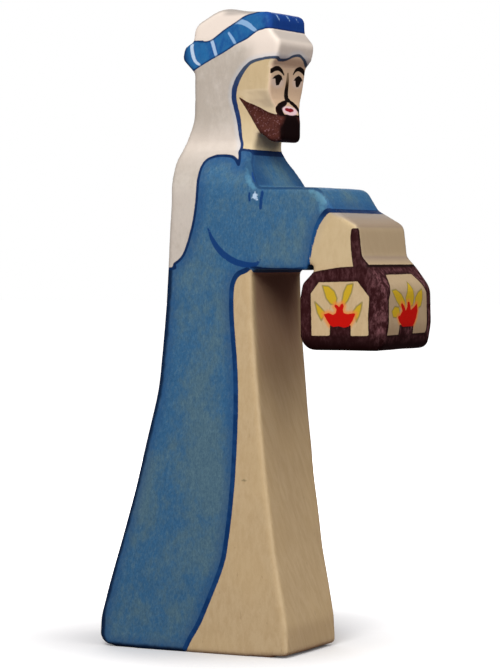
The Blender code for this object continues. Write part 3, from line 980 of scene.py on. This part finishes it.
lineLook = {
    "edgeSlate": (0.050, 0.075, 0.120),
    "edgeNavy": (1.00, (0.005, 0.028, 0.120)),
    "navyReach": (4.0, 131.0, 123.0),       # how uneven it is, then the heights from nothing to full
    "edgeBlue": (0.35, (0.040, 0.110, 0.280)),
    "edgeCover": 0.985,
    # painted shade on the hand next to the cuff, stronger where it faces up
    "cuffShade": (0.75, (0.330, 0.295, 0.270), ("coatLine", 1.9, 0.0), ("forward", 17.0, 20.0),
               ("facingUp", 0.0, 0.35, 0.25, 1.0)),
    "fold": (0.90, (0.004, 0.040, 0.180)),
    "coatLine": (0.005, 0.038, 0.140),
    "coatBlue": (1.00, (0.010, 0.056, 0.180)),
    "underArm": (0.60, (0.004, 0.012, 0.050), ("height", 80.0, 84.5)),
    "cuff": (0.75, (0.014, 0.085, 0.240), ("forward", 14.0, 16.0), ("height", 95.5, 93.5)),
}


def paintLines(s, colour):
    look = lineLook
    uneven, *reach = look["navyReach"]
    navy = s.ramp(s.math("MULTIPLY_ADD", s.noise(s.place, 0.6), uneven, s.measure("height")), *reach)
    edge = s.tint(look["edgeSlate"], look["edgeNavy"], navy)
    edge = s.tint(edge, look["edgeBlue"], s.ramp(s.noise(s.place, 0.8), 0.5, 0.75))
    colour = s.mix(s.times(s.masks["clothEdge"], look["edgeCover"]), colour, edge)
    # painted shade on the hand next to the cuff
    colour = s.tint(colour, look["cuffShade"], s.unpainted("coat"))
    colour = s.tint(colour, look["fold"], s.masks["fold"])
    line = s.tint(look["coatLine"], look["coatBlue"], s.ramp(s.noise(s.place, 0.45), 0.42, 0.66))
    line = s.tint(s.tint(line, look["underArm"]), look["cuff"])
    return s.mix(s.masks["coatLine"], colour, line)


lanternLook = {
    "frame": (0.030, 0.006, 0.007),
    "wearAndHighlight": (1.00, (0.200, 0.084, 0.092)),
    "post": (("forward", 30.4, 32.8), ("forward", 36.4, 34.0)),
    "wearAndHighlightShare": (0.36, 0.64),                   # everywhere, and more on the post
    "brim": (1.00, (0.012, 0.002, 0.002)),
    "brimShare": (0.45, 0.35),              # everywhere, and more on the front
    "low": (0.95, (0.008, 0.001, 0.001), ("height", 71.0, 67.0)),
    "topLine": (0.90, (0.006, 0.001, 0.001), ("frame", -0.75, -0.35), ("height", 82.9, 83.7),
                ("height", 86.0, 85.4), ("forward", 29.5, 31.0)),
    "yellow": (0.94, (0.600, 0.400, 0.008)),
    "outline": (0.65, (0.190, 0.175, 0.050), ("flameYellow", -0.28, -0.05), ("flameYellow", 0.28, 0.05)),
    "glow": (0.80, (0.800, 0.270, 0.050), ("flameRed", 1.0, 0.1)),
    "red": (0.560, 0.006, 0.003),
}


def paintLantern(s, colour):
    look = lanternLook
    wearAndHighlight = s.ramp(s.noise(s.stretch(s.place, (1.0, 1.0, 0.55)), 1.0, 4.0, 0.7), 0.40, 0.72)
    everywhere, onPost = look["wearAndHighlightShare"]
    wearAndHighlightShare = s.math("MULTIPLY_ADD", s.zone(*look["post"]), onPost, everywhere)
    frameColour = s.tint(look["frame"], look["wearAndHighlight"], wearAndHighlight, wearAndHighlightShare)
    everywhere, onFront = look["brimShare"]
    brim = s.math("MULTIPLY_ADD", s.front, onFront, everywhere)
    frameColour = s.tint(frameColour, look["brim"], brim, s.rims["frame"])
    frameColour = s.tint(s.tint(frameColour, look["low"]), look["topLine"])
    colour = s.tint(colour, look["yellow"], s.masks["flameYellow"])
    colour = s.tint(s.tint(colour, look["outline"]), look["glow"])
    colour = s.mix(s.masks["frame"], colour, frameColour)
    return s.mix(s.masks["flameRed"], colour, look["red"])


gloss = {
    "bareRoughness": 0.68,
    "paintedLess": 0.10,
    "linesLess": 0.10,
    "specular": 0.06,
    "bumpStrength": 0.25,
    "bumpDistance": 0.00012,
}


def paintedMaple():
    material = bpy.data.materials.new("paintedMaple")
    material.use_nodes = True
    material.node_tree.nodes.clear()
    s = Surface(material.node_tree)
    colour, grain = woodColour(s)
    colour = paintCoat(s, colour, grain)
    for paint in (paintCloth, paintBeard, paintFace, paintBand, paintLines, paintLantern):
        colour = paint(s, colour)

    painted = s.math("MAXIMUM", s.math("MAXIMUM", s.masks["coat"], s.masks["band"]),
                     s.math("MAXIMUM", s.masks["frame"], s.masks["beard"]))
    lines = s.math("MAXIMUM", s.masks["coatLine"], s.masks["band"])
    roughness = s.math("MULTIPLY_ADD", painted, -gloss["paintedLess"], gloss["bareRoughness"])
    roughness = s.math("MULTIPLY_ADD", lines, -gloss["linesLess"], roughness)
    relief = s.times(s.math("ADD", grain, s.noise(s.place, 1.6, 3.0, 0.6)), 0.5)
    bump = s.add("ShaderNodeBump")
    bump.inputs["Strength"].default_value = gloss["bumpStrength"]
    bump.inputs["Distance"].default_value = gloss["bumpDistance"]
    s.feed(bump.inputs["Height"], relief)
    shader = s.add("ShaderNodeBsdfPrincipled")
    s.feed(shader.inputs["Base Color"], colour)
    s.feed(shader.inputs["Roughness"], roughness)
    s.feed(shader.inputs["Normal"], bump.outputs["Normal"])
    shader.inputs["Specular IOR Level"].default_value = gloss["specular"]
    output = s.add("ShaderNodeOutputMaterial")
    s.feed(output.inputs["Surface"], shader.outputs["BSDF"])
    return material


stage = {
    "floorSize": 8.0,
    "floorSeen": (0.03, 0.27, 1.15),    # how light the floor glows by itself: at the foot, close by and far, dimmer at the foot as a painted shadow
    "nearRise": (0.020, 0.046),         # how far from the shadow's middle it grows lighter
    "farRise": (0.037, 0.096),
    "shadowMiddle": (0.008, 0.012, 0.0),
    "floorShade": 0.78,     # how much of the light and shadow it shows
    "floorBounce": (0.160, 0.100, 0.105),
    "worldColour": (0.118, 0.098, 0.102),
    "lamps": {              # place, diameter and power
        "sideLamp": ((-0.460, -0.098, 0.405), 0.34, 3.05),
        "frontLamp": ((0.010, -0.440, 0.460), 0.75, 2.15),
        "farLamp": ((0.420, 0.300, 0.210), 0.50, 1.75),
    },
    "lampTarget": (0.0, -0.01, 0.09),
    "cameraPlace": (-0.537835, -0.270463, 0.086598),
    "cameraTurn": -63.0,    # degrees
    "cameraDip": 1.626,
    "lens": 146.9,
    "sensor": 36.0,
    "clipStart": 0.01,
}


def whiteToCamera(n, lit, seen):
    # the camera sees one shader, and the light that reaches the figure comes from the other
    path = n.add("ShaderNodeLightPath")
    mix = n.add("ShaderNodeMixShader")
    n.feed(mix.inputs[0], path.outputs["Is Camera Ray"])
    n.feed(mix.inputs[1], lit.outputs[0])
    n.feed(mix.inputs[2], seen.outputs[0])
    return mix.outputs[0]


def floorMaterial():
    # the camera sees near white with a soft shadow, partly painted into the floor's glow, and the figure
    # gets a dim reddish bounce
    material = bpy.data.materials.new("paleFloor")
    material.use_nodes = True
    material.node_tree.nodes.clear()
    n = Nodes(material.node_tree)
    bounce, shade = n.add("ShaderNodeBsdfDiffuse"), n.add("ShaderNodeBsdfDiffuse")
    bounce.inputs["Color"].default_value = (*stage["floorBounce"], 1)
    shade.inputs["Color"].default_value = (*(stage["floorShade"],) * 3, 1)
    coords = n.add("ShaderNodeTexCoord")
    centred = n.add("ShaderNodeVectorMath", operation="SUBTRACT")
    n.feed(centred.inputs[0], coords.outputs["Object"])
    centred.inputs[1].default_value = stage["shadowMiddle"]
    away = n.add("ShaderNodeVectorMath", operation="LENGTH")
    n.feed(away.inputs[0], centred.outputs[0])
    away = away.outputs["Value"]
    foot, close, far = stage["floorSeen"]
    glow = n.add("ShaderNodeEmission")
    n.feed(glow.inputs["Strength"], n.math("ADD", n.ramp(away, *stage["nearRise"], foot, close),
                                           n.ramp(away, *stage["farRise"], 0.0, far - close)))
    both = n.add("ShaderNodeAddShader")
    n.feed(both.inputs[0], shade.outputs[0])
    n.feed(both.inputs[1], glow.outputs[0])
    output = n.add("ShaderNodeOutputMaterial")
    n.feed(output.inputs["Surface"], whiteToCamera(n, bounce, both))
    return material


def paleWorld():
    world = bpy.data.worlds.new("paleWorld")
    world.use_nodes = True
    world.node_tree.nodes.clear()
    n = Nodes(world.node_tree)
    lit, seen = n.add("ShaderNodeBackground"), n.add("ShaderNodeBackground")
    lit.inputs["Color"].default_value = (*stage["worldColour"], 1)
    seen.inputs["Color"].default_value = (1, 1, 1, 1)
    output = n.add("ShaderNodeOutputWorld")
    n.feed(output.inputs["Surface"], whiteToCamera(n, lit, seen))
    return world


def setStage():
    bpy.ops.object.select_all(action="DESELECT")
    bpy.ops.mesh.primitive_plane_add(size=stage["floorSize"])
    floor = bpy.context.active_object
    floor.name = "floor"
    floor.data.materials.append(floorMaterial())
    bpy.context.scene.world = paleWorld()

    for name, (place, diameter, power) in stage["lamps"].items():
        light = bpy.data.lights.new(name, "AREA")
        light.shape = "DISK"
        light.size = diameter
        light.energy = power
        lamp = bpy.data.objects.new(name, light)
        bpy.context.scene.collection.objects.link(lamp)
        lamp.location = place
        aim = Vector(stage["lampTarget"]) - lamp.location
        lamp.rotation_euler = aim.to_track_quat("-Z", "Y").to_euler()
        lamp.visible_camera = False


def setCamera():
    data = bpy.data.cameras.new("camera")
    data.sensor_width = stage["sensor"]
    data.lens = stage["lens"]
    data.clip_start = stage["clipStart"]
    camera = bpy.data.objects.new("camera", data)
    bpy.context.scene.collection.objects.link(camera)
    camera.location = stage["cameraPlace"]
    dip, turn = math.radians(stage["cameraDip"]), math.radians(stage["cameraTurn"])
    camera.rotation_euler = (math.radians(90) - dip, 0.0, turn)
    scene = bpy.context.scene
    scene.camera = camera
    scene.view_settings.view_transform = "Standard"
    scene.view_settings.look = "None"


figure = makeFigure()
print("figure meshed:", len(figure.data.vertices), "points", len(figure.data.polygons), "faces")
sandFigure(figure)
paintFigure(figure)
figure.data.materials.append(paintedMaple())
print("figure painted")
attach(figure, "root")
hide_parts("shepherd_figure")
setStage()
setCamera()
print("stage set")
